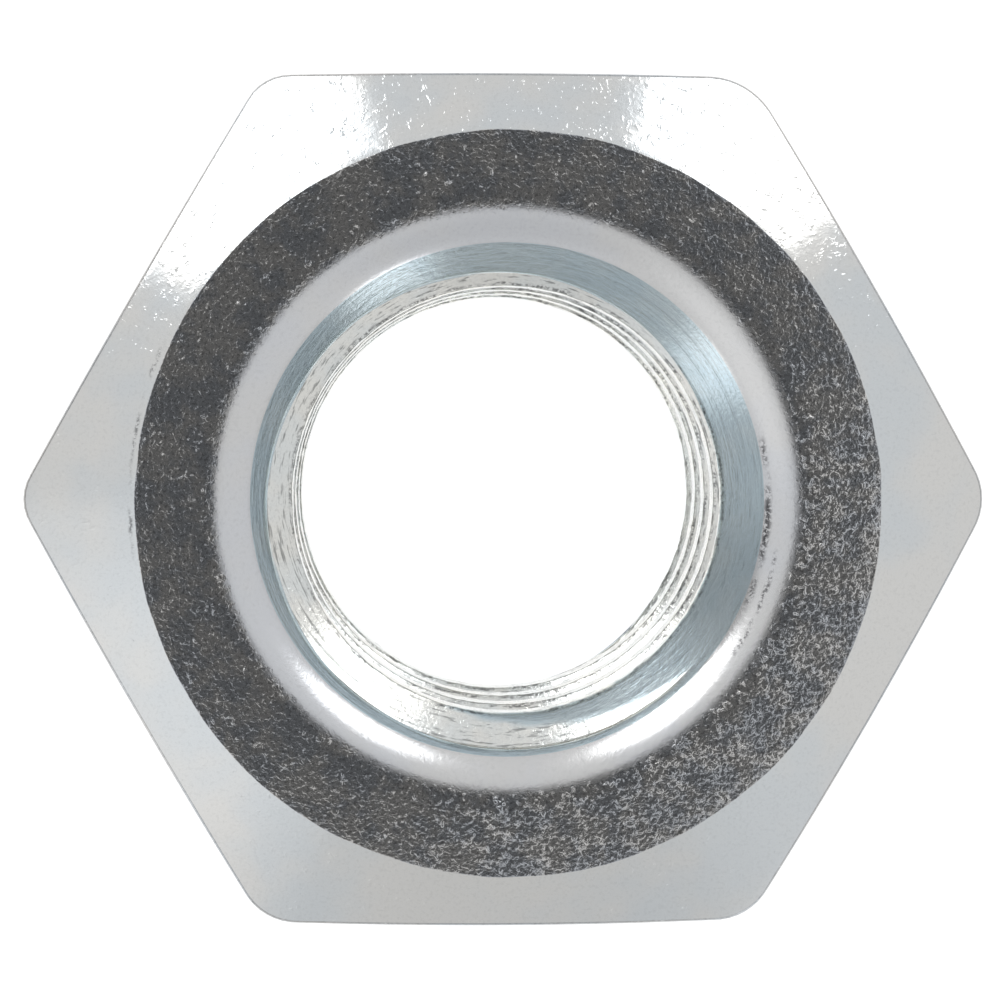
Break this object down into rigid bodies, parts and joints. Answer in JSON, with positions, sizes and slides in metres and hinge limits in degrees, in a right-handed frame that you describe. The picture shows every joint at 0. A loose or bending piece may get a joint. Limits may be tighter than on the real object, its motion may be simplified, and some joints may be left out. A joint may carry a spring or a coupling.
{
  "type": "hexagon nut",
  "caption": "Zinc-plated steel hexagon nut with an internal right-hand metric coarse thread and chamfered corners on both faces.",
  "frame": {"origin": "centre of the lower bearing face, on the thread axis", "axes": "+Z along the thread axis, from the lower bearing face to the upper one; +X towards a corner of the hexagon; +Y across two flats"},
  "size_m": [0.0194, 0.017, 0.008],
  "materials": {
    "zinc_plated_steel": "bright zinc plating over cold-formed steel, satin on the chamfers and worn grey on the bearing rings"
  },
  "bodies": {
    "root": {"nut_body": "zinc_plated_steel"}
  },
  "joints": []
}
